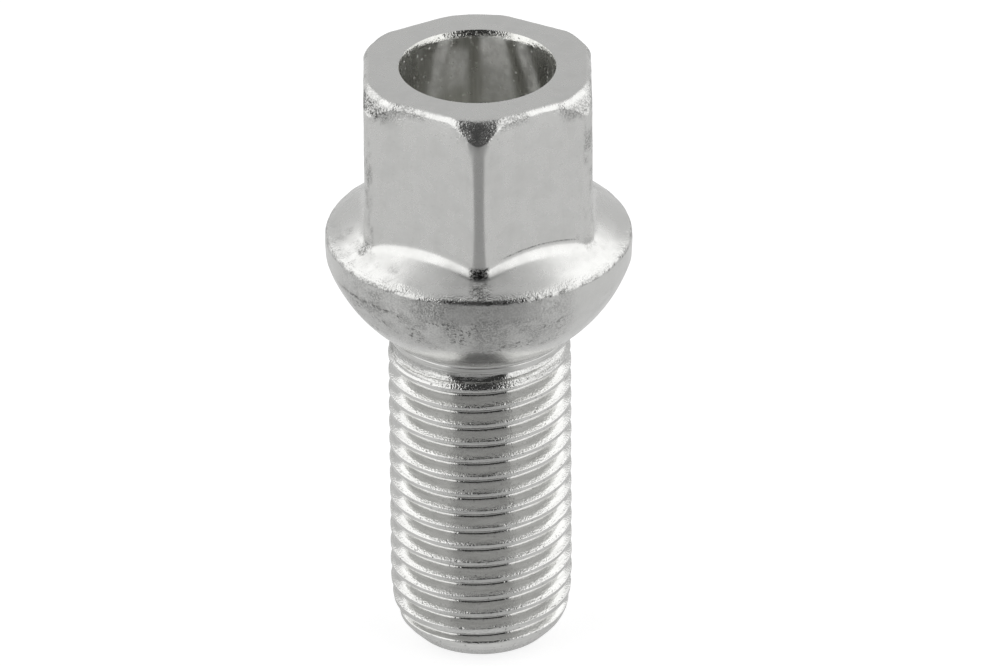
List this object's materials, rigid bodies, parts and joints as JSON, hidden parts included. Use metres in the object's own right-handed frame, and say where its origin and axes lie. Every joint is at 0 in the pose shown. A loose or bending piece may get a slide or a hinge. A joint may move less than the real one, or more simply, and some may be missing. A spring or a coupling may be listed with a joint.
{
  "type": "wheel bolt",
  "caption": "Zinc-plated steel wheel bolt with a hollow hexagon head, a sloped flange, a ball seat and a right-hand metric fine thread, which clamps a car wheel to its hub.",
  "frame": {"origin": "centre of the flat end of the tip, which the bolt stands on", "axes": "+Z along the bolt's axis from the tip to the head, -Y through a corner of the hexagon"},
  "size_m": [0.0232, 0.0232, 0.0479],
  "materials": {
    "zinc_plated_steel": "bright zinc plate, satin, with a rougher forged skin on the flange and seat"
  },
  "bodies": {
    "root": {"wheel_bolt": "zinc_plated_steel"}
  },
  "joints": []
}
